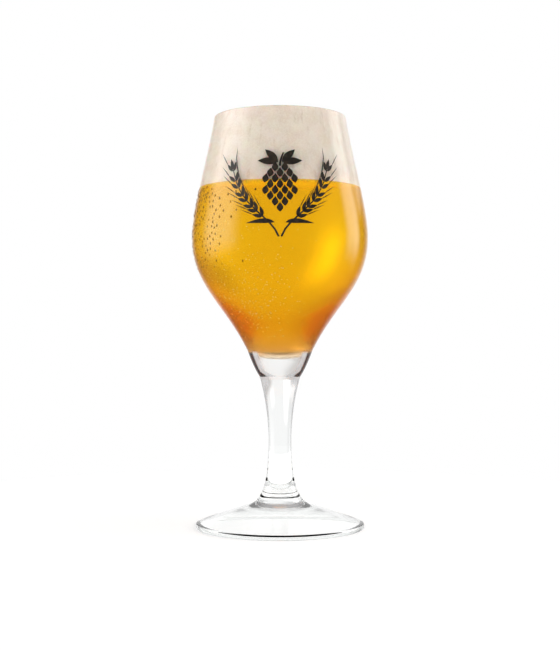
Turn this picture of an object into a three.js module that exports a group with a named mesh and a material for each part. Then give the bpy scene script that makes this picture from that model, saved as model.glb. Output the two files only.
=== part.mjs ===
// A stemmed beer glass with its drink: a blown tulip bowl on a drawn stem and a pressed foot,
// filled with beer under a head of foam. Millimetres, +Z up, origin under the middle of the foot.
import * as THREE from 'three';

// Heights, stacked from the table up.
const FOOT_HEIGHT = 12.8;
const STEM_LENGTH = 60.6;
const KNOB_HEIGHT = 12.8;
const BELLY_RISE = 54.8;
const NECK_RISE = 59;

// Foot: a low hollow cone with a rounded edge that stands on a narrow ring.
const FOOT_RADIUS = 41;
const FOOT_EDGE_HEIGHT = 2.6;
const FOOT_EDGE_ROUND = 1;
const FOOT_NECK_SPREAD = 6.3;
const FOOT_NECK_DROP = 2.5;
const FOOT_NECK_BEND = 1;
const RING_INSET = 0.6;
const RING_WIDTH = 1.4;
const RING_RISE = 1.3;
const RING_TAPER = 0.4;
const HOLLOW_RISE = 11.4;
const HOLLOW_SPREAD = 7;
const HOLLOW_SLOPE = THREE.MathUtils.degToRad(20);
const HOLLOW_SLOPE_REACH = 24;

// Stem: waisted, wider at both of its seams.
const STEM_FOOT_RADIUS = 11.8;
const STEM_WAIST_RADIUS = 5.6;
const STEM_SEAM_RADIUS = 10;
const WAIST_ABOVE_FOOT = 29.2;
const STEM_FLARE_RISE = 5;
const STEM_FLARE_SPREAD = 4.7;
const STEM_CUP_DROP = 10.5;
const STEM_CUP_SPREAD = 3;

// Bowl: a solid knob, a flared belly, and a neck drawn in to the rim.
const KNOB_RADIUS = 16;
const KNOB_TOP_LEAN = THREE.MathUtils.degToRad(22);
const KNOB_SEAM_LEAN = THREE.MathUtils.degToRad(33);
const BULGE_RADIUS = 43;
const RIM_RADIUS = 32.3;
const BELLY_LEAN = THREE.MathUtils.degToRad(26.4);
const NECK_LEAN = THREE.MathUtils.degToRad(9.9);
const BELLY_KNOB_REACH = 23;
const BELLY_BULGE_REACH = 23.2;
const NECK_BULGE_REACH = 13.7;
const NECK_RIM_REACH = 21.8;

// Walls of the bowl, and the round cup at the bottom of its cavity.
const RIM_WALL = 1.4;
const BULGE_WALL = 1.6;
const FLOOR_THICKNESS = 10.6;
const CUP_RADIUS = 18.2;
const CUP_RISE = 14;
const CUP_LEAN = THREE.MathUtils.degToRad(36.5);
const CUP_FLOOR_REACH = 11;
const CUP_WALL_REACH = 8;
const CAVITY_LOW_REACH = 15;
const CAVITY_BULGE_REACH = 18.8;

// Drink: beer up to its line, then foam that clings to the wall and has sunk in the middle.
const BEER_DEPTH = 80.8;
const FOAM_BELOW_LIP = 0.3;
const FOAM_DIP = 5.6;
const FOAM_BANK = 8;
const DRINK_CLEARANCE = 0.3;

// Fineness: sides of a turned shape, and steps along each of its curves.
const SIDES = 48;
const CURVE_STEPS = 6;
const BELLY_STEPS = 12;
const LIP_STEPS = 2;

const stemSeamZ = FOOT_HEIGHT + STEM_LENGTH;
const knobTopZ = stemSeamZ + KNOB_HEIGHT;
const bulgeZ = knobTopZ + BELLY_RISE;
const rimZ = bulgeZ + NECK_RISE;
const floorZ = stemSeamZ + FLOOR_THICKNESS;
const beerZ = floorZ + BEER_DEPTH;
const lipHeight = RIM_WALL / 2;
const lipZ = rimZ - lipHeight;
const foamZ = lipZ - FOAM_BELOW_LIP;

const clearGlass = new THREE.MeshStandardMaterial({
  color: 0xe9eef0,
  roughness: 0.05,
  metalness: 0,
  transparent: true,
  opacity: 0.35,
});
const goldenBeer = new THREE.MeshStandardMaterial({
  color: 0xe0a015,
  roughness: 0.1,
  metalness: 0,
  transparent: true,
  opacity: 0.85,
});
const creamyFoam = new THREE.MeshStandardMaterial({
  color: 0xebdece,
  roughness: 0.85,
  metalness: 0,
});

// A named solid turned round the Z axis from a profile of (radius, height) points.
function turned(name, profile, material) {
  const geometry = new THREE.LatheGeometry(profile, SIDES);
  geometry.rotateX(Math.PI / 2);
  const mesh = new THREE.Mesh(geometry, material);
  mesh.name = name;
  return mesh;
}

// The belly as a curve from its lower end, which leans outwards, up to the upright bulge.
function bellyCurve(low, lean, lowReach, bulgeRadius, bulgeReach) {
  return new THREE.CubicBezierCurve(
    low,
    new THREE.Vector2(low.x + lowReach * Math.tan(lean), low.y + lowReach),
    new THREE.Vector2(bulgeRadius, bulgeZ - bulgeReach),
    new THREE.Vector2(bulgeRadius, bulgeZ),
  );
}

// The neck as a curve from the bulge up to the foot of the rim's rounded lip.
function neckCurve(bulgeRadius, rimRadius) {
  return new THREE.CubicBezierCurve(
    new THREE.Vector2(bulgeRadius, bulgeZ),
    new THREE.Vector2(bulgeRadius, bulgeZ + NECK_BULGE_REACH),
    new THREE.Vector2(rimRadius + NECK_RIM_REACH * Math.tan(NECK_LEAN), lipZ - NECK_RIM_REACH),
    new THREE.Vector2(rimRadius, lipZ),
  );
}

// The cavity's wall from the middle of its round cup up to the lip, drawn in by a gap.
function cavityProfile(gap) {
  const cup = new THREE.Vector2(CUP_RADIUS - gap, floorZ + CUP_RISE);
  const bulgeRadius = BULGE_RADIUS - BULGE_WALL - gap;
  const floor = new THREE.CubicBezierCurve(
    new THREE.Vector2(0, floorZ + gap),
    new THREE.Vector2(CUP_FLOOR_REACH, floorZ + gap),
    new THREE.Vector2(cup.x - CUP_WALL_REACH * Math.tan(CUP_LEAN), cup.y - CUP_WALL_REACH),
    cup,
  );
  const belly = bellyCurve(cup, CUP_LEAN, CAVITY_LOW_REACH, bulgeRadius, CAVITY_BULGE_REACH);
  return [
    ...floor.getPoints(CURVE_STEPS),
    ...belly.getPoints(BELLY_STEPS).slice(1),
    ...neckCurve(bulgeRadius, RIM_RADIUS - RIM_WALL - gap).getPoints(CURVE_STEPS).slice(1),
  ];
}

// The stretch of a rising profile between two heights, with its ends cut to them.
function stretch(profile, lowZ, highZ) {
  const cut = [];
  for (let i = 1; i < profile.length; i += 1) {
    const below = profile[i - 1];
    const above = profile[i];
    const at = (z) => below.clone().lerp(above, (z - below.y) / (above.y - below.y));
    if (below.y < lowZ && above.y > lowZ) cut.push(at(lowZ));
    if (below.y >= lowZ && below.y < highZ) cut.push(below);
    if (below.y < highZ && above.y >= highZ) cut.push(at(highZ));
  }
  return cut;
}

function makeFoot() {
  const ringOuter = FOOT_RADIUS - RING_INSET;
  const ringInner = ringOuter - RING_WIDTH;
  const ringTop = ringInner - RING_TAPER;
  const bendSpread = FOOT_NECK_BEND * (STEM_FLARE_SPREAD / STEM_FLARE_RISE);
  const outline = new THREE.Path();
  outline.moveTo(0, HOLLOW_RISE);
  outline.bezierCurveTo(
    HOLLOW_SPREAD, HOLLOW_RISE,
    ringTop - HOLLOW_SLOPE_REACH, RING_RISE + HOLLOW_SLOPE_REACH * Math.tan(HOLLOW_SLOPE),
    ringTop, RING_RISE,
  );
  outline.lineTo(ringInner, 0);
  outline.lineTo(ringOuter, 0);
  outline.quadraticCurveTo(FOOT_RADIUS, 0, FOOT_RADIUS, FOOT_EDGE_HEIGHT / 2);
  outline.quadraticCurveTo(FOOT_RADIUS, FOOT_EDGE_HEIGHT, FOOT_RADIUS - FOOT_EDGE_ROUND, FOOT_EDGE_HEIGHT);
  outline.lineTo(STEM_FOOT_RADIUS + FOOT_NECK_SPREAD, FOOT_HEIGHT - FOOT_NECK_DROP);
  outline.quadraticCurveTo(
    STEM_FOOT_RADIUS + bendSpread, FOOT_HEIGHT - FOOT_NECK_BEND,
    STEM_FOOT_RADIUS, FOOT_HEIGHT,
  );
  outline.lineTo(0, FOOT_HEIGHT);
  return turned('foot', outline.getPoints(CURVE_STEPS), clearGlass);
}

function makeStem() {
  const waistZ = FOOT_HEIGHT + WAIST_ABOVE_FOOT;
  const cupZ = stemSeamZ - STEM_CUP_DROP;
  const outline = new THREE.Path();
  outline.moveTo(0, FOOT_HEIGHT);
  outline.lineTo(STEM_FOOT_RADIUS, FOOT_HEIGHT);
  outline.bezierCurveTo(
    STEM_FOOT_RADIUS - STEM_FLARE_SPREAD, FOOT_HEIGHT + STEM_FLARE_RISE,
    STEM_WAIST_RADIUS, waistZ - WAIST_ABOVE_FOOT / 2,
    STEM_WAIST_RADIUS, waistZ,
  );
  outline.bezierCurveTo(
    STEM_WAIST_RADIUS, (waistZ + cupZ) / 2,
    STEM_SEAM_RADIUS - STEM_CUP_SPREAD, cupZ,
    STEM_SEAM_RADIUS, stemSeamZ,
  );
  outline.lineTo(0, stemSeamZ);
  return turned('stem', outline.getPoints(CURVE_STEPS), clearGlass);
}

function makeBowl() {
  const knobReach = KNOB_HEIGHT / 3;
  const innerRim = RIM_RADIUS - RIM_WALL;
  const knob = new THREE.Path();
  knob.moveTo(0, stemSeamZ);
  knob.lineTo(STEM_SEAM_RADIUS, stemSeamZ);
  knob.bezierCurveTo(
    STEM_SEAM_RADIUS + knobReach * Math.tan(KNOB_SEAM_LEAN), stemSeamZ + knobReach,
    KNOB_RADIUS - knobReach * Math.tan(KNOB_TOP_LEAN), knobTopZ - knobReach,
    KNOB_RADIUS, knobTopZ,
  );
  const knobTop = new THREE.Vector2(KNOB_RADIUS, knobTopZ);
  const belly = bellyCurve(knobTop, BELLY_LEAN, BELLY_KNOB_REACH, BULGE_RADIUS, BELLY_BULGE_REACH);
  const lip = new THREE.Path();
  lip.moveTo(RIM_RADIUS, lipZ);
  lip.quadraticCurveTo(RIM_RADIUS, rimZ, RIM_RADIUS - lipHeight, rimZ);
  lip.quadraticCurveTo(innerRim, rimZ, innerRim, lipZ);
  const profile = [
    ...knob.getPoints(CURVE_STEPS),
    ...belly.getPoints(BELLY_STEPS).slice(1),
    ...neckCurve(BULGE_RADIUS, RIM_RADIUS).getPoints(CURVE_STEPS).slice(1),
    ...lip.getPoints(LIP_STEPS).slice(1),
    ...cavityProfile(0).reverse().slice(1),
  ];
  return turned('bowl', profile, clearGlass);
}

function makeBeer() {
  const wall = stretch(cavityProfile(DRINK_CLEARANCE), floorZ, beerZ);
  return turned('beer', [...wall, new THREE.Vector2(0, beerZ)], goldenBeer);
}

function makeFoamHead() {
  const wall = stretch(cavityProfile(DRINK_CLEARANCE), beerZ, foamZ);
  const edge = wall[wall.length - 1];
  const middleZ = foamZ - FOAM_DIP;
  const top = new THREE.Path();
  top.moveTo(edge.x, edge.y);
  top.bezierCurveTo(
    edge.x - FOAM_BANK / 2, foamZ,
    edge.x - FOAM_BANK / 2, middleZ,
    edge.x - FOAM_BANK, middleZ,
  );
  top.lineTo(0, middleZ);
  const profile = [new THREE.Vector2(0, beerZ), ...wall, ...top.getPoints(CURVE_STEPS).slice(1)];
  return turned('foam_head', profile, creamyFoam);
}

const beerGlass = new THREE.Group();
beerGlass.add(makeFoot(), makeStem(), makeBowl(), makeBeer(), makeFoamHead());

export default beerGlass;
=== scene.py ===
"""A stemmed beer glass full of golden beer under a head of foam, standing in a white studio."""
import math
import random

import bmesh
import bpy
from mathutils import Matrix, Vector, noise
from mathutils.bvhtree import BVHTree
from mathutils.geometry import interpolate_bezier


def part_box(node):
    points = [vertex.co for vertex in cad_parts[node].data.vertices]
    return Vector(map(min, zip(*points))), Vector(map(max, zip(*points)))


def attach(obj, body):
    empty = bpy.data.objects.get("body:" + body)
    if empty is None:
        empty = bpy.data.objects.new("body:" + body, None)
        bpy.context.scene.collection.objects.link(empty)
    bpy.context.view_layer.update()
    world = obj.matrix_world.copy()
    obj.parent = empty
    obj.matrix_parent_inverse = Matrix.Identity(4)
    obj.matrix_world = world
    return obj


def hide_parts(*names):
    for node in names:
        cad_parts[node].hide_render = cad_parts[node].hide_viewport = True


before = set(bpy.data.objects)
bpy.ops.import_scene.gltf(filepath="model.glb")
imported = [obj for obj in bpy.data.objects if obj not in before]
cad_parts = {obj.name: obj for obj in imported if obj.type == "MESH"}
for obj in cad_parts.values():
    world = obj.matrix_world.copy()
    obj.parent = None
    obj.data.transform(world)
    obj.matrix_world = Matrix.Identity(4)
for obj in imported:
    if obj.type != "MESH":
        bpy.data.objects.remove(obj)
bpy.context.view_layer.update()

# Sizes in metres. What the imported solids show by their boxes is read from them.
MM = 0.001
FOOT_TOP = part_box("foot")[1].z
FOOT_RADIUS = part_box("foot")[1].x
STEM_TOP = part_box("stem")[1].z
STEM_FOOT_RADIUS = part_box("stem")[1].x
BULGE_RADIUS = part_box("bowl")[1].x
RIM_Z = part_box("bowl")[1].z
BEER_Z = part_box("beer")[1].z
DRINK_CLEARANCE = 0.3 * MM
CAVITY_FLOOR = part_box("beer")[0].z - DRINK_CLEARANCE

# Foot: a low hollow cone with a rounded edge that stands on a narrow ring.
FOOT_EDGE_HEIGHT = 2.6 * MM
FOOT_EDGE_ROUND = 1 * MM
FOOT_NECK_SPREAD = 6.3 * MM
FOOT_NECK_DROP = 2.5 * MM
FOOT_NECK_BEND = 1 * MM
RING_INSET = 0.6 * MM
RING_WIDTH = 1.4 * MM
RING_RISE = 1.3 * MM
RING_TAPER = 0.4 * MM
HOLLOW_RISE = 11.4 * MM
HOLLOW_SPREAD = 7 * MM
HOLLOW_SLOPE = math.radians(20)
HOLLOW_SLOPE_REACH = 24 * MM

# Stem: waisted, wider at both seams.
STEM_WAIST_RADIUS = 5.6 * MM
STEM_SEAM_RADIUS = 10 * MM
WAIST_ABOVE_FOOT = 29.2 * MM
STEM_FLARE_RISE = 5 * MM
STEM_FLARE_SPREAD = 4.7 * MM
STEM_CUP_DROP = 10.5 * MM
STEM_CUP_SPREAD = 3 * MM

# Bowl: a solid knob, a flared belly and a neck drawn in to the rim, with the walls' thickness.
KNOB_HEIGHT = 12.8 * MM
KNOB_RADIUS = 16 * MM
KNOB_TOP_LEAN = math.radians(22)
KNOB_SEAM_LEAN = math.radians(33)
BELLY_RISE = 54.8 * MM
BELLY_LEAN = math.radians(26.4)
BELLY_KNOB_REACH = 23 * MM
BELLY_BULGE_REACH = 23.2 * MM
NECK_LEAN = math.radians(9.9)
NECK_BULGE_REACH = 13.7 * MM
NECK_RIM_REACH = 21.8 * MM
RIM_RADIUS = 32.3 * MM
RIM_WALL = 1.4 * MM
BULGE_WALL = 1.6 * MM
CUP_RADIUS = 18.2 * MM
CUP_RISE = 14 * MM
CUP_LEAN = math.radians(36.5)
CUP_FLOOR_REACH = 11 * MM
CUP_WALL_REACH = 8 * MM
CAVITY_LOW_REACH = 15 * MM
CAVITY_BULGE_REACH = 18.8 * MM
KNOB_Z = STEM_TOP + KNOB_HEIGHT
BULGE_Z = KNOB_Z + BELLY_RISE
LIP_Z = RIM_Z - RIM_WALL / 2

# Drink: it wets the wall, so its skin lies a hair inside the glass.
BEER_SINK = 0.15 * MM
FOAM_SINK = 0.1 * MM
FOAM_ROOT = 0.5 * MM
FOAM_CREST_Z = RIM_Z - 0.2 * MM
FOAM_CREST_INSET = 1.4 * MM
FOAM_MIDDLE_Z = RIM_Z - 6.6 * MM
FOAM_BANK = 8 * MM

# Fineness of the turned shapes.
SIDES = 160
LONG_CURVE = 28
SHORT_CURVE = 10
LIP_CURVE = 5
MERGE = 1e-7
CREASE = math.radians(30)


def rz(radius, height):
    """A point of a profile."""
    return Vector((radius, height))


def leaning(rise, lean):
    """The step that climbs by a rise while it leans outwards."""
    return rz(rise * math.tan(lean), rise)


def bend(start, pull_out, pull_in, end, steps):
    """Points of a cubic curve, its first point left out."""
    return interpolate_bezier(start, pull_out, pull_in, end, steps + 1)[1:]


def corner(start, tip, end, steps):
    """Points of a curve that rounds a corner, its first point left out."""
    return bend(start, start.lerp(tip, 2 / 3), end.lerp(tip, 2 / 3), end, steps)


def belly(low, lean, low_reach, bulge_radius, bulge_reach):
    """The belly from its lower end up to the bulge."""
    bulge = rz(bulge_radius, BULGE_Z)
    return bend(low, low + leaning(low_reach, lean), bulge - rz(0, bulge_reach), bulge, LONG_CURVE)


def neck(bulge_radius, rim_radius):
    """The neck from the bulge up to the foot of the rounded lip."""
    bulge = rz(bulge_radius, BULGE_Z)
    lip = rz(rim_radius, LIP_Z)
    pull_in = lip - leaning(NECK_RIM_REACH, -NECK_LEAN)
    return bend(bulge, bulge + rz(0, NECK_BULGE_REACH), pull_in, lip, LONG_CURVE)


def cavity(gap):
    """The cavity's wall from the middle of its round cup up to the lip, drawn in by a gap."""
    middle = rz(0, CAVITY_FLOOR + gap)
    cup = rz(CUP_RADIUS - gap, CAVITY_FLOOR + CUP_RISE)
    bulge_radius = BULGE_RADIUS - BULGE_WALL - gap
    pull_in = cup - leaning(CUP_WALL_REACH, CUP_LEAN)
    points = [middle] + bend(middle, middle + rz(CUP_FLOOR_REACH, 0), pull_in, cup, SHORT_CURVE * 2)
    points += belly(cup, CUP_LEAN, CAVITY_LOW_REACH, bulge_radius, CAVITY_BULGE_REACH)
    return points + neck(bulge_radius, RIM_RADIUS - RIM_WALL - gap)


def stretch(profile, low_z, high_z):
    """The part of a rising profile between two heights, with its ends cut to them."""
    kept = []
    for below, above in zip(profile, profile[1:]):
        for z in (low_z, high_z):
            if below.y < z <= above.y:
                kept.append(below.lerp(above, (z - below.y) / (above.y - below.y)))
        if low_z < above.y < high_z:
            kept.append(above)
    return kept


class Term:
    """A socket of a node tree. Arithmetic on it adds Math nodes."""

    def __init__(self, board, socket):
        self.board = board
        self.socket = socket

    def maths(self, operation, *values):
        return self.board.node("ShaderNodeMath", dict(enumerate(values)), operation=operation)

    def __add__(self, other):
        return self.maths("ADD", self, other)

    def __radd__(self, other):
        return self.maths("ADD", other, self)

    def __sub__(self, other):
        return self.maths("SUBTRACT", self, other)

    def __rsub__(self, other):
        return self.maths("SUBTRACT", other, self)

    def __mul__(self, other):
        return self.maths("MULTIPLY", self, other)

    def __rmul__(self, other):
        return self.maths("MULTIPLY", other, self)

    def __truediv__(self, other):
        return self.maths("DIVIDE", self, other)

    def __abs__(self):
        return self.maths("ABSOLUTE", self)

    def larger(self, other):
        return self.maths("MAXIMUM", self, other)

    def rising(self, low, high):
        """0 up to low, 1 from high on, with a smooth step between them."""
        inputs = {"Value": self, "From Min": low, "From Max": high}
        return self.board.node("ShaderNodeMapRange", inputs, interpolation_type="SMOOTHSTEP")


class Board:
    """The node tree of a material or world while it is written."""

    def __init__(self, owner):
        owner.use_nodes = True
        self.tree = owner.node_tree
        self.tree.nodes.clear()

    def node(self, kind, inputs=None, out=None, stops=None, **settings):
        """A new node with its settings and inputs; gives back one of its outputs."""
        made = self.tree.nodes.new(kind)
        for key, value in settings.items():
            setattr(made, key, value)
        if stops:
            ramp = made.color_ramp.elements
            while len(ramp) < len(stops):
                ramp.new(1)
            for element, (place, colour) in zip(ramp, stops):
                element.position = place
                element.color = (*colour, 1)
        for key, value in (inputs or {}).items():
            socket = made.inputs[key] if isinstance(key, int) else self.open_input(made, key)
            if isinstance(value, Term):
                self.tree.links.new(value.socket, socket)
            else:
                socket.default_value = (*value, 1) if self.wants_alpha(socket, value) else value
        outputs = [s for s in made.outputs if s.enabled and out in (None, s.name)]
        return Term(self, outputs[0]) if outputs else None

    @staticmethod
    def open_input(made, name):
        return next(s for s in made.inputs if s.enabled and s.name == name)

    @staticmethod
    def wants_alpha(socket, value):
        return socket.type == "RGBA" and len(value) == 3

    def mix(self, factor, first, second):
        """A colour between two."""
        inputs = {"Factor": factor, "A": first, "B": second}
        return self.node("ShaderNodeMix", inputs, data_type="RGBA")

    def place(self):
        """The point on the piece, in metres in the part's own frame."""
        return self.node("ShaderNodeTexCoord", out="Object")

    def grain(self, size, detail=2, roughness=0.5, tall=1):
        """Cloudy noise whose blotches are about a size across, and taller than that by a factor."""
        squeeze = {0: self.place(), 1: (1, 1, 1 / tall)}
        place = self.node("ShaderNodeVectorMath", squeeze, operation="MULTIPLY")
        inputs = {"Vector": place, "Scale": 1 / size, "Detail": detail, "Roughness": roughness}
        return self.node("ShaderNodeTexNoise", inputs, out="Fac")

    def cells(self, size):
        """The distance to the nearest middle among cells of about a size, in cells."""
        inputs = {"Vector": self.place(), "Scale": 1 / size}
        return self.node("ShaderNodeTexVoronoi", inputs, out="Distance")

    def height(self):
        """The height above the table."""
        return self.node("ShaderNodeSeparateXYZ", {"Vector": self.place()}, out="Z")

    def slant(self):
        """How far the surface turns away from the viewer: 0 where it faces them, 1 edge on."""
        return self.node("ShaderNodeLayerWeight", {"Blend": 0.5}, out="Facing")

    def bump(self, height, depth):
        return self.node("ShaderNodeBump", {"Height": height, "Distance": depth})

    def finish(self, surface, volume=None):
        inputs = {"Surface": surface}
        if volume:
            inputs["Volume"] = volume
        self.node("ShaderNodeOutputMaterial", inputs)


def srgb(red, green, blue):
    """A colour as it is seen on screen, 0 to 255, as linear values."""
    def linear(level):
        share = level / 255
        return share / 12.92 if share <= 0.04045 else ((share + 0.055) / 1.055) ** 2.4
    return tuple(linear(level) for level in (red, green, blue))


def new_material(name):
    material = bpy.data.materials.new(name)
    return material, Board(material)


def lets_lamps_through(board, body, shade):
    """Light from lamps crosses the surface straight, dimmed by a shade, and reaches what is behind."""
    inputs = {
        "Fac": board.node("ShaderNodeLightPath", out="Is Shadow Ray"),
        1: body,
        2: board.node("ShaderNodeBsdfTransparent", {"Color": shade}),
    }
    return board.node("ShaderNodeMixShader", inputs)


GLASS_INDEX = 1.5
BEER_INDEX = 1.34
WATER_INDEX = 1.33


def painted_glass_shade(board):
    """Painted shade on the glass. Where the surface turns away from the viewer, a greyish coat stands in
    for the darkness of solid glass at the knob, the top of the stem and the neck of the foot, with dark
    rims on the knob."""
    height = board.height()
    slant = board.slant()
    outside = 1 - board.node("ShaderNodeNewGeometry", out="Backfacing")
    above_seam = height.rising(STEM_TOP - 0.4 * MM, STEM_TOP + 0.2 * MM)
    around_seam = height.rising(STEM_TOP - 6 * MM, STEM_TOP - 2.2 * MM)
    knob = around_seam * (1 - height.rising(KNOB_Z - 2 * MM, KNOB_Z))
    stem_top = height.rising(STEM_TOP - 28 * MM, STEM_TOP - 14 * MM) * (1 - around_seam)
    knob_foot = 1 - height.rising(STEM_TOP + 0.5 * MM, STEM_TOP + 3 * MM)
    foot_neck = height.rising(FOOT_TOP - 2.8 * MM, FOOT_TOP - 1.8 * MM)
    foot_neck = foot_neck * (1 - height.rising(FOOT_TOP - 0.4 * MM, FOOT_TOP + 0.6 * MM))
    # Painted shade: a greyish coat where the knob, the top of the stem and the neck of the foot turn
    # away from the viewer.
    painted_grey = (slant + knob_foot * 0.14).rising(0.29, 0.4) * knob + slant.rising(0.42, 0.62) * stem_top
    painted_grey = painted_grey + slant.rising(0.1, 0.25) * (1 - slant.rising(0.5, 0.75)) * foot_neck * 0.8
    # Painted shade: dark rims on the knob above the seam, towards its edges.
    painted_dark_rim = (slant + knob_foot * 0.15).rising(0.49, 0.59) * above_seam
    return painted_grey * outside * 0.9, painted_dark_rim


def clear_glass():
    """Blown soda glass: clear, with slow ripples from the gather and a breath of handling. Where the
    knob, the top of the stem and the neck of the foot turn away from the viewer it has a coat of painted
    shade."""
    material, board = new_material("clear_glass")
    ripple = board.grain(14 * MM, detail=1)
    handling = board.grain(5 * MM, detail=4)
    painted_grey, painted_dark_rim = painted_glass_shade(board)
    # Painted shade: a greyish, rough surface that turns near-black on the painted dark rims, mixed over
    # the clear glass.
    thick_end_and_painted_grey = board.node("ShaderNodeBsdfPrincipled", {
        "Base Color": board.mix(painted_dark_rim, (0.7, 0.7, 0.71), (0.045, 0.05, 0.06)),
        "Roughness": 0.2,
    })
    clear = board.node("ShaderNodeBsdfPrincipled", {
        "Base Color": (0.985, 0.995, 0.99),
        "Roughness": handling.rising(0.56, 0.8) * 0.015,
        "IOR": GLASS_INDEX,
        "Transmission Weight": 1.0,
        "Normal": board.bump(ripple, 0.02 * MM),
    })
    body = board.node("ShaderNodeMixShader", {"Fac": painted_grey, 1: clear, 2: thick_end_and_painted_grey})
    board.finish(lets_lamps_through(board, body, (0.98, 0.98, 0.98)))
    return material


def fused_seam():
    """Where two gobs of glass are fused nothing shows."""
    material, board = new_material("fused_seam")
    board.finish(board.node("ShaderNodeBsdfTransparent", {"Color": (1, 1, 1)}))
    return material


def golden_beer():
    """Hazy golden beer: it takes out blue with depth. Its colour changes with height, pale at the very
    bottom and more orange low in the bowl, and towards its edges a deeper orange is painted shade."""
    material, board = new_material("golden_beer")
    share = (board.height() - CAVITY_FLOOR) / (BEER_Z - CAVITY_FLOOR)
    haze = board.grain(9 * MM, detail=3)
    colour = board.node("ShaderNodeValToRGB", {"Fac": share + (haze - 0.5) * 0.06}, stops=[
        (0.0, srgb(250, 226, 190)),
        (0.035, srgb(228, 170, 106)),
        (0.15, srgb(236, 176, 40)),
        (0.4, srgb(240, 200, 36)),
        (0.7, srgb(242, 212, 44)),
        (1.0, srgb(240, 204, 60)),
    ])
    # Painted shade: a deeper orange where the beer turns away from the viewer, strongest low in the
    # bowl, standing in for the deeper colour that longer paths of light give near its edges.
    painted_edge_orange = (0.55 - share.rising(0.4, 0.75) * 0.35) * share.rising(0.08, 0.2)
    colour = board.mix(board.slant().rising(0.1, 0.27) * painted_edge_orange, colour, srgb(236, 130, 26))
    body = board.node("ShaderNodeBsdfPrincipled", {
        "Base Color": colour,
        "Roughness": 0.2,
        "IOR": BEER_INDEX,
        "Specular Tint": (0.1, 0.06, 0.02),
        "Transmission Weight": 0.88,
    })
    depth = board.node("ShaderNodeVolumeAbsorption", {"Color": (0.992, 0.91, 0.08), "Density": 60.0})
    board.finish(lets_lamps_through(board, body, (0.98, 0.94, 0.84)), depth)
    return material


def creamy_foam():
    """Dense cream foam: fine bubbles, slow mottling and faint runs down the side."""
    material, board = new_material("creamy_foam")
    mottle = board.grain(7 * MM, detail=4, roughness=0.6)
    pores = board.cells(0.9 * MM)
    fine = board.grain(0.7 * MM)
    colour = board.mix(mottle.rising(0.3, 0.72), srgb(244, 233, 220), srgb(235, 221, 205))
    runs = board.grain(2.4 * MM, tall=6).rising(0.54, 0.74)
    colour = board.mix(runs * 0.7, colour, srgb(222, 206, 188))
    colour = board.mix(pores.rising(0.35, 0.75) * 0.35, colour, srgb(250, 242, 231))
    body = board.node("ShaderNodeBsdfPrincipled", {
        "Base Color": colour,
        "Roughness": 0.6 + fine * 0.3,
        "Specular IOR Level": 0.3,
        "Subsurface Weight": 0.6,
        "Subsurface Scale": 4 * MM,
        "Normal": board.bump(pores + fine * 0.6, 0.08 * MM),
    })
    board.finish(body)
    return material


def bubble_skin(name, bright, dim):
    """Single bubbles, their colour drifting between a bright and a dim one. The pale yellow of the fizz
    is a painted glint.
    """
    material, board = new_material(name)
    sheen = board.grain(0.8 * MM)
    body = board.node("ShaderNodeBsdfPrincipled", {
        "Base Color": board.mix(sheen, bright, dim),
        "Roughness": 0.05 + sheen * 0.1,
        "IOR": BEER_INDEX,
        "Transmission Weight": 0.25,
    })
    board.finish(lets_lamps_through(board, body, (0.95, 0.93, 0.88)))
    return material


def cold_water():
    """Condensation: small drops tinted dark brown, a painted shade that makes them show dark against the
    bright drink.
    """
    material, board = new_material("cold_water")
    body = board.node("ShaderNodeBsdfPrincipled", {
        # Painted shade: a dark brown tint in place of the darkness clear drops show by refraction.
        "Base Color": (0.36, 0.3, 0.22),
        "Roughness": board.grain(1.5 * MM).rising(0.6, 0.9) * 0.03,
        "IOR": WATER_INDEX,
        "Transmission Weight": 1.0,
    })
    board.finish(lets_lamps_through(board, body, (0.95, 0.95, 0.95)))
    return material


def dark_enamel():
    """Fired black-brown enamel, a little uneven where the screen laid it thinner."""
    material, board = new_material("dark_enamel")
    cover = board.grain(1.6 * MM, detail=4)
    body = board.node("ShaderNodeBsdfPrincipled", {
        "Base Color": board.mix(cover.rising(0.35, 0.75), srgb(30, 24, 18), srgb(58, 46, 30)),
        "Roughness": 0.35 + cover * 0.25,
        "Normal": board.bump(cover, 0.01 * MM),
    })
    board.finish(body)
    return material


CLEAR_GLASS = clear_glass()
FUSED_SEAM = fused_seam()
GOLDEN_BEER = golden_beer()
CREAMY_FOAM = creamy_foam()
FROTH_SKIN = bubble_skin("froth_skin", srgb(252, 242, 222), srgb(246, 232, 206))
# The fizz beads' pale yellow is a painted glint: it makes them show as specks of light in the beer.
FIZZ_PAINTED_GLINT = bubble_skin("fizz_painted_glint", srgb(255, 236, 170), srgb(252, 222, 130))
COLD_WATER = cold_water()
DARK_ENAMEL = dark_enamel()


def finished(name, bm, *materials):
    """Turns a bmesh into a smooth piece that rides on the glass."""
    mesh = bpy.data.meshes.new(name)
    for face in bm.faces:
        face.smooth = True
    bm.to_mesh(mesh)
    bm.free()
    mesh.set_sharp_from_angle(angle=CREASE)
    for material in materials:
        mesh.materials.append(material)
    piece = bpy.data.objects.new(name, mesh)
    bpy.context.scene.collection.objects.link(piece)
    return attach(piece, "root")


def turned(profile):
    """A closed shape turned round Z from a profile that starts and ends on the axis."""
    bm = bmesh.new()
    points = [bm.verts.new((p.x, 0, p.y)) for p in profile]
    lines = [bm.edges.new(pair) for pair in zip(points, points[1:])]
    bmesh.ops.spin(
        bm, geom=points + lines, cent=(0, 0, 0), axis=(0, 0, 1),
        angle=math.tau, steps=SIDES, use_merge=True,
    )
    bmesh.ops.remove_doubles(bm, verts=bm.verts, dist=MERGE)
    bmesh.ops.recalc_face_normals(bm, faces=bm.faces)
    return bm


def open_seams(bm, *heights):
    """Gives the flat faces at fused seams the second slot."""
    for face in bm.faces:
        for height in heights:
            if all(abs(v.co.z - height) < MERGE for v in face.verts):
                face.material_index = 1


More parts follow.
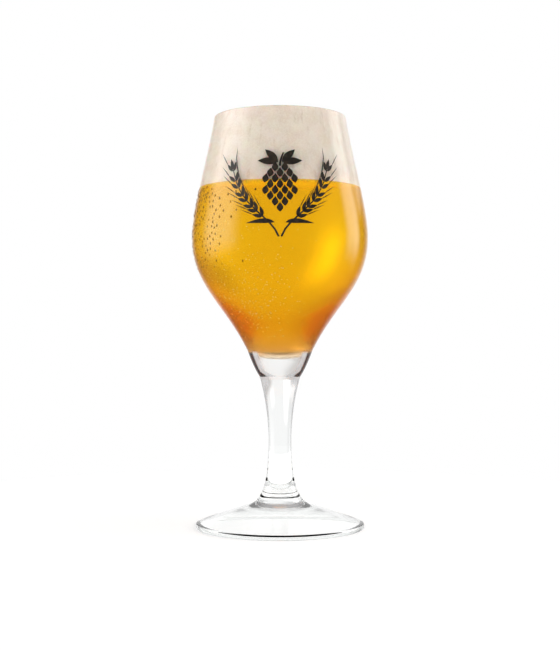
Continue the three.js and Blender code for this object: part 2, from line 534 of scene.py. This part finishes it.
def make_foot():
    ring_outer = rz(FOOT_RADIUS - RING_INSET, 0)
    ring_inner = ring_outer - rz(RING_WIDTH, 0)
    hollow = rz(0, HOLLOW_RISE)
    edge = rz(FOOT_RADIUS, FOOT_EDGE_HEIGHT / 2)
    shoulder = rz(FOOT_RADIUS - FOOT_EDGE_ROUND, FOOT_EDGE_HEIGHT)
    neck_foot = rz(STEM_FOOT_RADIUS + FOOT_NECK_SPREAD, FOOT_TOP - FOOT_NECK_DROP)
    seam = rz(STEM_FOOT_RADIUS, FOOT_TOP)
    bend_tip = seam + rz(FOOT_NECK_BEND * STEM_FLARE_SPREAD / STEM_FLARE_RISE, -FOOT_NECK_BEND)
    hollow_out = hollow + rz(HOLLOW_SPREAD, 0)
    ring_top = ring_inner + rz(-RING_TAPER, RING_RISE)
    hollow_in = ring_top + HOLLOW_SLOPE_REACH * rz(-1, math.tan(HOLLOW_SLOPE))
    profile = [hollow]
    profile += bend(hollow, hollow_out, hollow_in, ring_top, LONG_CURVE)
    profile += [ring_inner, ring_outer]
    profile += corner(ring_outer, rz(FOOT_RADIUS, 0), edge, SHORT_CURVE)
    profile += corner(edge, rz(FOOT_RADIUS, FOOT_EDGE_HEIGHT), shoulder, SHORT_CURVE)
    profile += [shoulder.lerp(neck_foot, step / SHORT_CURVE) for step in range(1, SHORT_CURVE + 1)]
    profile += corner(neck_foot, bend_tip, seam, SHORT_CURVE)
    profile += [rz(0, FOOT_TOP)]
    bm = turned(profile)
    open_seams(bm, FOOT_TOP)
    foot = finished("pressed_foot", bm, CLEAR_GLASS, FUSED_SEAM)
    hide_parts("foot")


def make_stem():
    low = rz(STEM_FOOT_RADIUS, FOOT_TOP)
    waist = rz(STEM_WAIST_RADIUS, FOOT_TOP + WAIST_ABOVE_FOOT)
    seam = rz(STEM_SEAM_RADIUS, STEM_TOP)
    cup = seam - rz(STEM_CUP_SPREAD, STEM_CUP_DROP)
    flare = low + rz(-STEM_FLARE_SPREAD, STEM_FLARE_RISE)
    profile = [rz(0, FOOT_TOP), low]
    profile += bend(low, flare, waist - rz(0, WAIST_ABOVE_FOOT / 2), waist, LONG_CURVE)
    profile += bend(waist, rz(waist.x, (waist.y + cup.y) / 2), cup, seam, LONG_CURVE)
    profile += [rz(0, STEM_TOP)]
    bm = turned(profile)
    open_seams(bm, FOOT_TOP, STEM_TOP)
    stem = finished("drawn_stem", bm, CLEAR_GLASS, FUSED_SEAM)
    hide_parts("stem")


def make_bowl():
    seam = rz(STEM_SEAM_RADIUS, STEM_TOP)
    knob = rz(KNOB_RADIUS, KNOB_Z)
    reach = KNOB_HEIGHT / 3
    knob_out = seam + leaning(reach, KNOB_SEAM_LEAN)
    knob_in = knob - leaning(reach, KNOB_TOP_LEAN)
    outer_lip = rz(RIM_RADIUS, LIP_Z)
    crown = rz(RIM_RADIUS - RIM_WALL / 2, RIM_Z)
    inner_lip = rz(RIM_RADIUS - RIM_WALL, LIP_Z)
    profile = [rz(0, STEM_TOP), seam]
    profile += bend(seam, knob_out, knob_in, knob, SHORT_CURVE)
    profile += belly(knob, BELLY_LEAN, BELLY_KNOB_REACH, BULGE_RADIUS, BELLY_BULGE_REACH)
    profile += neck(BULGE_RADIUS, RIM_RADIUS)
    profile += corner(outer_lip, rz(outer_lip.x, RIM_Z), crown, LIP_CURVE)
    profile += corner(crown, rz(inner_lip.x, RIM_Z), inner_lip, LIP_CURVE)
    profile += cavity(0)[-2::-1]
    bm = turned(profile)
    open_seams(bm, STEM_TOP)
    wall = BVHTree.FromBMesh(bm)
    bowl = finished("blown_bowl", bm, CLEAR_GLASS, FUSED_SEAM)
    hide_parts("bowl")
    return wall


def make_beer():
    profile = [rz(0, CAVITY_FLOOR - BEER_SINK)]
    profile += stretch(cavity(-BEER_SINK), CAVITY_FLOOR - BEER_SINK, BEER_Z)
    bm = turned(profile + [rz(0, BEER_Z)])
    beer = finished("beer_body", bm, GOLDEN_BEER)
    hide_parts("beer")


FOAM_TOP_RINGS = 40
LUMP_SEED = 0
LUMP_WAVES = ((9 * MM, 0.55 * MM), (3 * MM, 0.3 * MM))
LINE_SEED = 5
LINE_WAVES = ((12 * MM, 0.25 * MM), (1.6 * MM, 0.3 * MM))


def waviness(point, waves, seed):
    """How far noise of several (length, depth) waves lifts a point."""
    offset = Vector((seed, 0, 0))
    return sum(depth * noise.noise(point / length + offset) for length, depth in waves)


def make_foam():
    """The head of foam: it clings to the wall up to the lip, has sunk in the middle and meets the
    beer in an uneven line."""
    root_z = BEER_Z - FOAM_ROOT
    wall = stretch(cavity(-FOAM_SINK), root_z, LIP_Z)
    edge = wall[-1]
    crest = rz(edge.x - FOAM_CREST_INSET, FOAM_CREST_Z)
    middle = rz(crest.x - FOAM_BANK, FOAM_MIDDLE_Z)
    pull_out = crest - rz(FOAM_BANK / 2, 0)
    pull_in = middle + rz(FOAM_BANK / 2, 0)
    profile = [rz(0, root_z)] + wall
    profile += corner(edge, rz(edge.x, FOAM_CREST_Z), crest, LIP_CURVE)
    profile += bend(crest, pull_out, pull_in, middle, FOAM_TOP_RINGS // 2)
    rings = range(1, FOAM_TOP_RINGS + 1)
    profile += [middle.lerp(rz(0, middle.y), ring / FOAM_TOP_RINGS) for ring in rings]
    bm = turned(profile)
    for vertex in bm.verts:
        radius = vertex.co.xy.length
        if radius < crest.x - MM and vertex.co.z > root_z + MM:
            vertex.co.z += waviness(vertex.co, LUMP_WAVES, LUMP_SEED)
        elif vertex.co.z < root_z + MERGE:
            vertex.co.z += waviness(vertex.co, LINE_WAVES, LINE_SEED)
    foam = finished("foam_head_froth", bm, CREAMY_FOAM)
    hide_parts("foam_head")


def at_wall(wall, turn, height):
    """Where the bowl's outside is at a turn from the front and a height, and which way it faces."""
    out = Vector((math.sin(turn), -math.cos(turn), 0))
    start = out * (2 * BULGE_RADIUS) + Vector((0, 0, height))
    point, normal, _, _ = wall.ray_cast(start, -out)
    return point, normal


BEAD_SIDES = 8
BEAD_RINGS = 6


def make_bead():
    """The mesh that every drop and bubble is a copy of: a round bead with a radius of one."""
    bm = bmesh.new()
    bmesh.ops.create_uvsphere(bm, u_segments=BEAD_SIDES, v_segments=BEAD_RINGS, radius=1)
    mesh = bpy.data.meshes.new("bead")
    bm.to_mesh(mesh)
    bm.free()
    return mesh


BEAD = make_bead()


def add_bead(bm, centre, radius, axis=Vector((0, 0, 1)), flatness=1.0, droop=1.0):
    """A small round bead, flattened along an axis and drawn out downhill."""
    turn = axis.to_track_quat("Y", "Z").to_matrix().to_4x4()
    size = Matrix.Diagonal((radius, radius * flatness, radius * droop, 1))
    mesh = BEAD.copy()
    mesh.transform(Matrix.Translation(centre) @ turn @ size)
    bm.from_mesh(mesh)
    bpy.data.meshes.remove(mesh)


def cavity_radius(height):
    """The radius of the cavity at a height."""
    return stretch(cavity(0), height, height)[0].x


# Bubbles: their sizes are radii, and lifts and insets are shares of a bubble's own radius.
FROTH_SEED = 11
FROTH_COUNT = 420
FROTH_SIZES = (0.35 * MM, 1.55 * MM)
FROTH_RARITY = 4
FROTH_LIFT = 0.1
LINE_COUNT = 300
LINE_SIZES = (0.2 * MM, 0.55 * MM)
LINE_RARITY = 2
LINE_INSET = 0.7
LINE_ABOVE = 0.2 * MM
LINE_BELOW = 0.8 * MM
FIZZ_SEED = 23
FIZZ_COUNT = 460
FIZZ_SIZES = (0.16 * MM, 0.34 * MM)
FIZZ_INSET = 0.2
FIZZ_TURN = math.radians(-32)
FIZZ_SPREAD = math.radians(26)

# Where the fizz clings, as shares of the beer's depth.
FIZZ_LOWEST = 0.1
FIZZ_HIGHEST = 0.85
FIZZ_THICKEST = 0.32


def bubble_size(draw, sizes, rarity):
    """A radius between two sizes. The higher the rarity, the fewer bubbles are large."""
    smallest, largest = sizes
    return smallest + (largest - smallest) * draw.random() ** rarity


def make_froth_bubbles():
    """Single bubbles on the sunken top of the foam and along the line where it meets the beer."""
    draw = random.Random(FROTH_SEED)
    bm = bmesh.new()
    field = RIM_RADIUS - RIM_WALL - FOAM_CREST_INSET - FOAM_BANK
    for _ in range(FROTH_COUNT):
        radius = field * math.sqrt(draw.random())
        turn = draw.uniform(0, math.tau)
        size = bubble_size(draw, FROTH_SIZES, FROTH_RARITY)
        centre = Vector((radius * math.cos(turn), radius * math.sin(turn), FOAM_MIDDLE_Z))
        centre.z += waviness(centre, LUMP_WAVES, LUMP_SEED) + size * FROTH_LIFT
        add_bead(bm, centre, size)
    for _ in range(LINE_COUNT):
        turn = draw.uniform(0, math.tau)
        size = bubble_size(draw, LINE_SIZES, LINE_RARITY)
        height = BEER_Z - FOAM_ROOT - draw.uniform(-LINE_ABOVE, LINE_BELOW)
        radius = cavity_radius(height) - size * LINE_INSET
        add_bead(bm, Vector((radius * math.cos(turn), radius * math.sin(turn), height)), size)
    froth = finished("froth_bubbles", bm, FROTH_SKIN)


def make_fizz():
    """Fine bubbles that cling to the wall under the beer."""
    draw = random.Random(FIZZ_SEED)
    bm = bmesh.new()
    for _ in range(FIZZ_COUNT):
        share = draw.triangular(FIZZ_LOWEST, FIZZ_HIGHEST, FIZZ_THICKEST)
        height = CAVITY_FLOOR + (BEER_Z - CAVITY_FLOOR) * share
        turn = draw.gauss(FIZZ_TURN, FIZZ_SPREAD)
        size = draw.uniform(*FIZZ_SIZES)
        radius = cavity_radius(height) - size * FIZZ_INSET
        add_bead(bm, Vector((radius * math.sin(turn), -radius * math.cos(turn), height)), size)
    fizz = finished("fizz_bubbles", bm, FIZZ_PAINTED_GLINT)


DROP_SEED = 37
DROP_COUNT = 175
DROP_SPACE = 1.8 * MM
DROP_LOW_TURN = math.radians(-66)
DROP_HIGH_TURN = math.radians(-70)
DROP_LOW_Z = BULGE_Z - 18 * MM
DROP_HIGH_Z = BEER_Z - 1 * MM
DROP_FOCUS = 27
DROP_SMALLEST = 0.24 * MM
DROP_GROWTH_UPWARDS = 0.16 * MM
DROP_GROWTH_BY_CHANCE = 0.16 * MM
DROP_SINK = 0.2
DROP_FLATNESS = 0.65
DROP_DROOP = (1.2, 1.9)


def make_condensation(wall):
    """Drops of condensation on the cold outside, thickest far on the left and larger higher up."""
    draw = random.Random(DROP_SEED)
    bm = bmesh.new()
    places = []
    while len(places) < DROP_COUNT:
        turn = draw.uniform(-math.pi, math.pi)
        share = draw.random()
        height = DROP_LOW_Z + (DROP_HIGH_Z - DROP_LOW_Z) * share
        coldest = DROP_LOW_TURN + (DROP_HIGH_TURN - DROP_LOW_TURN) * share
        cold_side = (0.5 + 0.5 * math.cos(turn - coldest)) ** DROP_FOCUS
        point, normal = at_wall(wall, turn, height)
        crowded = any((point - place).length < DROP_SPACE for place in places)
        if crowded or draw.random() > math.sqrt(share) * cold_side:
            continue
        size = DROP_SMALLEST + DROP_GROWTH_UPWARDS * share + DROP_GROWTH_BY_CHANCE * draw.random()
        droop = draw.uniform(*DROP_DROOP)
        add_bead(bm, point - normal * size * DROP_SINK, size, normal, DROP_FLATNESS, droop)
        places.append(point)
    finished("condensation", bm, COLD_WATER)


PRINT_Z = BEER_Z - 6.8 * MM
PRINT_THICKNESS = 0.04 * MM
PRINT_SINK = 0.01 * MM
RIBBON_ROWS = 8


def ribbon(bm, spine, width):
    """A flat strip along a cubic curve through four (across, up) points in millimetres, as wide at
    each share of its length as width says."""
    rows = interpolate_bezier(*[Vector(p) * MM for p in spine], RIBBON_ROWS + 1)
    made = bmesh.ops.create_grid(bm, x_segments=2, y_segments=RIBBON_ROWS, size=1)["verts"]
    for vertex in made:
        row = round((vertex.co.y + 1) / 2 * RIBBON_ROWS)
        along = rows[min(row + 1, RIBBON_ROWS)] - rows[max(row - 1, 0)]
        across = Vector((along.y, -along.x)).normalized()
        half = width(row / RIBBON_ROWS) * MM / 2
        flat = rows[row] + across * half * vertex.co.x
        vertex.co = (flat.x, 0, flat.y)


def petal(bm, base, heading, length, width, fullness=1.0, hook=0.0):
    """A pointed leaf form from its base along a heading, bent sideways by a hook."""
    start = Vector(base)
    ahead = Vector((math.sin(heading), math.cos(heading))) * length
    side = Vector((ahead.y, -ahead.x)) * hook
    spine = (start, start + ahead / 3, start + ahead * 2 / 3 + side / 2, start + ahead + side)
    ribbon(bm, spine, lambda share: width * math.sin(math.pi * share ** fullness))


def stalk(bm, spine, thick_end_and_painted_grey, thin):
    """A line that tapers from thick to thin."""
    ribbon(bm, spine, lambda share: thick_end_and_painted_grey + (thin - thick_end_and_painted_grey) * share)


# The print is drawn flat, in millimetres across from its middle line and up from PRINT_Z.
EAR_SPINE = ((0.6, -20), (4, -10), (19, -7), (23, 12))
EAR_STEPS = 40
FIRST_GRAIN_STEP = 14
LAST_GRAIN_STEP = EAR_STEPS - 1
EAR_GRAINS = 8
GRAIN_TILT = 0.5
GRAIN_GAP = 0.7
BRISTLE_GAP = 5.1
BRISTLE_TILT_SHARE = 0.6
BRISTLE_HOOK_SHARE = 0.1
BLADE_X = 2.4
BLADE_Y = -13.5
BLADE_HEADING = 1.25
BLADE_HOOK = 0.35
CONE_ROWS = (1, 2, 3, 4, 3, 4, 3, 2)
CONE_TIP_Y = -9.5
CONE_STEP = 2.7
CONE_PITCH = 4.1
CONE_FAN = 0.035
BRACT_LENGTH = CONE_STEP * 1.7
BRACT_WIDTH = CONE_PITCH * 0.74
LEAF_X = 0.9
LEAF_DROP = 0.2
LEAF_HOOK = 0.08
LEAF_LOBES = ((0.7, 8.5), (1.4, 9.5))


def draw_ear(bm, side):
    """An ear of barley that sweeps up to one side, with its grains, bristles and a blade leaf."""
    spine = [Vector((side * x, y)) for x, y in EAR_SPINE]
    stalk(bm, spine, thick_end_and_painted_grey=0.9, thin=0.5)
    path = interpolate_bezier(*spine, EAR_STEPS + 1)
    for grain in range(EAR_GRAINS):
        step = FIRST_GRAIN_STEP + round(grain * (LAST_GRAIN_STEP - FIRST_GRAIN_STEP) / (EAR_GRAINS - 1))
        along = path[step + 1] - path[step - 1]
        heading = math.atan2(along.x, along.y)
        for tilt in (-GRAIN_TILT, GRAIN_TILT):
            outward = Vector((math.sin(heading + tilt), math.cos(heading + tilt)))
            base = path[step] + outward * GRAIN_GAP
            petal(bm, base, heading + tilt, length=4.9, width=1.75, fullness=0.8)
            base = path[step] + outward * BRISTLE_GAP
            bristle_heading = heading + tilt * BRISTLE_TILT_SHARE
            hook = tilt * BRISTLE_HOOK_SHARE
            petal(bm, base, bristle_heading, length=7, width=0.42, fullness=0.6, hook=hook)
    petal(bm, path[EAR_STEPS], heading, length=5.2, width=1.9, fullness=0.8)
    base = (side * BLADE_X, BLADE_Y)
    hook = side * BLADE_HOOK
    petal(bm, base, side * BLADE_HEADING, length=13, width=2.2, fullness=0.7, hook=hook)


def draw_hop(bm):
    """A hop cone that hangs from its stalk between two lobed leaves."""
    for row, count in enumerate(CONE_ROWS):
        for bract in range(count):
            x = (bract - (count - 1) / 2) * CONE_PITCH
            base = (x, CONE_TIP_Y + (row + 2) * CONE_STEP)
            petal(bm, base, math.pi - x * CONE_FAN, BRACT_LENGTH, BRACT_WIDTH, fullness=1.2)
    top = CONE_TIP_Y + (len(CONE_ROWS) + 1) * CONE_STEP
    stalk(bm, ((0, top - 2), (0, top), (0.6, top + 2), (1.6, top + 4.4)), thick_end_and_painted_grey=1.1, thin=0.7)
    for side in (-1, 1):
        base = (side * LEAF_X, top - LEAF_DROP)
        hook = side * LEAF_HOOK
        for heading, length in LEAF_LOBES:
            petal(bm, base, side * heading, length, width=3.4, fullness=0.9, hook=hook)


def make_print(wall):
    """The printed decoration on the front: a hop cone between two ears of barley."""
    bm = bmesh.new()
    draw_ear(bm, -1)
    draw_ear(bm, 1)
    draw_hop(bm)
    bmesh.ops.remove_doubles(bm, verts=bm.verts, dist=MERGE)
    bmesh.ops.dissolve_degenerate(bm, edges=bm.edges, dist=MERGE)
    for vertex in bm.verts:
        height = PRINT_Z + vertex.co.z
        middle, _ = at_wall(wall, 0, height)
        point, normal = at_wall(wall, vertex.co.x / -middle.y, height)
        vertex.co = point - normal * PRINT_SINK
    bmesh.ops.recalc_face_normals(bm, faces=bm.faces)
    for face in bm.faces:
        if face.normal.dot(face.calc_center_median() - Vector((0, 0, PRINT_Z))) < 0:
            face.normal_flip()
    bmesh.ops.solidify(bm, geom=bm.faces, thickness=-PRINT_THICKNESS)
    finished("barley_and_hop_print", bm, DARK_ENAMEL)


CAMERA_DISTANCE = 573.1 * MM
CAMERA_HEIGHT = 90.2 * MM
AIM_HEIGHT = 98.5 * MM
CAMERA_LENS = 64.91


def make_camera():
    camera = bpy.data.objects.new("camera", bpy.data.cameras.new("camera"))
    camera.data.lens = CAMERA_LENS
    camera.location = (0, -CAMERA_DISTANCE, CAMERA_HEIGHT)
    aim = Vector((0, 0, AIM_HEIGHT)) - camera.location
    camera.rotation_euler = aim.to_track_quat("-Z", "Y").to_euler()
    bpy.context.scene.collection.objects.link(camera)
    bpy.context.scene.camera = camera


FLOOR_RADIUS = 0.26
FLOOR_SIDES = 96
FLOOR_GAP = 0.02 * MM
FLOOR_GLOW = 0.42
FLOOR_GLOW_THROUGH = 0.6


def make_floor():
    """A pale floor that shows white where nothing shades it."""
    bm = bmesh.new()
    place = Matrix.Translation((0, 0, -FLOOR_GAP))
    bmesh.ops.create_circle(
        bm, cap_ends=True, segments=FLOOR_SIDES, radius=FLOOR_RADIUS, matrix=place,
    )
    mesh = bpy.data.meshes.new("studio_floor")
    bm.to_mesh(mesh)
    bm.free()
    material, board = new_material("studio_floor")
    pale = board.node("ShaderNodeBsdfDiffuse", {"Color": (0.8, 0.8, 0.8)})
    camera = board.node("ShaderNodeLightPath", out="Is Camera Ray")
    passing = board.node("ShaderNodeLightPath", out="Is Transmission Ray")
    glow = camera * FLOOR_GLOW + passing * FLOOR_GLOW_THROUGH
    glow = board.node("ShaderNodeEmission", {"Strength": glow})
    board.finish(board.node("ShaderNodeAddShader", {0: pale, 1: glow}))
    mesh.materials.append(material)
    floor = bpy.data.objects.new("studio_floor", mesh)
    floor.visible_glossy = False
    bpy.context.scene.collection.objects.link(floor)


KEY_PLACE = Vector((-0.3, -0.8, 0.95))
KEY_WIDTH = 0.7
KEY_POWER = 1.6


def make_key_light():
    """One large soft lamp, high on the left, that throws the soft shadow to the right."""
    lamp = bpy.data.lights.new("key_light", "AREA")
    lamp.shape = "DISK"
    lamp.size = KEY_WIDTH
    lamp.energy = KEY_POWER
    key = bpy.data.objects.new("key_light", lamp)
    key.location = KEY_PLACE
    key.rotation_euler = (-KEY_PLACE).to_track_quat("-Z", "Y").to_euler()
    key.visible_glossy = False
    key.visible_transmission = False
    bpy.context.scene.collection.objects.link(key)


ROOM_LEVEL = 0.7
TABLE_LIFT = 2.4
SIDE_LIFT = 0.5


def degrees(*angles):
    """Angles given in degrees, as radians."""
    return tuple(math.radians(angle) for angle in angles)


def window(term, start, full, full_end, end):
    """1 where an angle lies between full and full_end, fading to 0 at start and end."""
    return term.rising(*degrees(start, full)) * (1 - term.rising(*degrees(full_end, end)))


def seen_through(turn, rise, in_front):
    """What shows through the glass: a white wall that dims overhead, in places at the sides and
    behind the camera, with bright patches on both sides."""
    ceiling = rise.rising(*degrees(40, 75))
    dim_high = (1 - turn.rising(*degrees(-24, 2))) * rise.rising(*degrees(23, 31))
    dim_left = window(turn, -100, -64, -36, -24) * window(rise, -24, -12, 14, 24)
    dim_right = window(turn, 12, 24, 60, 80) * window(rise, 11, 16, 22, 27)
    lit_left = window(turn - rise * 0.4, -30, -21, -20, -11) * window(rise, -1, 8, 13, 23)
    lit_far_left = window(turn, -80, -60, -24, -12) * window(rise, 8, 14, 23, 28)
    lit_right = window(turn, 11, 19, 23, 31) * window(rise, 5, 8, 11, 16)
    wall = (1 - ceiling * 0.5) * (1 - dim_high * 0.28) * (1 - in_front * 0.45)
    wall = wall * (1 - dim_left * 0.1) * (1 - dim_right * 0.36)
    return wall + lit_left * 1.05 + lit_right * 0.2 + lit_far_left * 0.2


def seen_in_gloss(turn, rise):
    """What gloss mirrors: a dim room, the white wall behind the glass and two tall soft boxes."""
    box_rise = window(rise, -20, 4, 40, 66)
    left_box = window(turn, -132, -106, -84, -56) * box_rise
    right_box = window(turn, 50, 64, 76, 90) * box_rise
    high_wall = window(turn, 4, 30, 40, 66) * window(rise, 10, 15, 30, 40)
    wall = window(turn, -36, -10, 12, 44).larger(high_wall)
    return 0.06 + wall * 0.94 + left_box * 2.3 + right_box * 2.4


def room_light(turn, rise, in_front):
    """What lights the object: a level that is lower overhead, a bright table and a fill at each side."""
    overhead = rise.rising(*degrees(25, 65))
    table = (1 - rise.rising(*degrees(-14, 0))) * (1 - in_front * 0.8)
    above = rise.rising(*degrees(-5, 12))
    left_fill = window(turn, -150, -110, -76, -36) * (2 - above * 1.7)
    right_fill = window(turn, 36, 76, 110, 150) * above * 1.6
    fills = (left_fill + right_fill) * SIDE_LIFT
    return ROOM_LEVEL * (1 - overhead * 0.5) + table * TABLE_LIFT + fills


def make_world():
    """White to the camera, and a studio to every other ray. A turn of 0 is straight behind the glass,
    and turns to the right are positive."""
    world = bpy.data.worlds.new("studio")
    bpy.context.scene.world = world
    board = Board(world)
    way = board.node("ShaderNodeTexCoord", out="Generated")
    x, y, z = (board.node("ShaderNodeSeparateXYZ", {"Vector": way}, out=axis) for axis in "XYZ")
    turn = x.maths("ARCTAN2", x, y)
    rise = z.maths("ARCSINE", z)
    in_front = abs(turn).rising(*degrees(115, 160))
    names = ("Is Camera Ray", "Is Glossy Ray", "Is Transmission Ray")
    camera, glossy, passing = (board.node("ShaderNodeLightPath", out=name) for name in names)
    level = glossy * seen_in_gloss(turn, rise) + (1 - glossy) * room_light(turn, rise, in_front)
    level = passing * seen_through(turn, rise, in_front) + (1 - passing) * level
    level = camera + (1 - camera) * level
    sky = board.node("ShaderNodeBackground", {"Color": (1, 1, 1), "Strength": level})
    board.node("ShaderNodeOutputWorld", {"Surface": sky})


make_camera()
make_foot()
make_stem()
BOWL_WALL = make_bowl()
make_beer()
make_foam()
make_froth_bubbles()
make_fizz()
make_condensation(BOWL_WALL)
make_print(BOWL_WALL)
make_floor()
make_key_light()
make_world()

bpy.context.scene.view_settings.view_transform = "Standard"
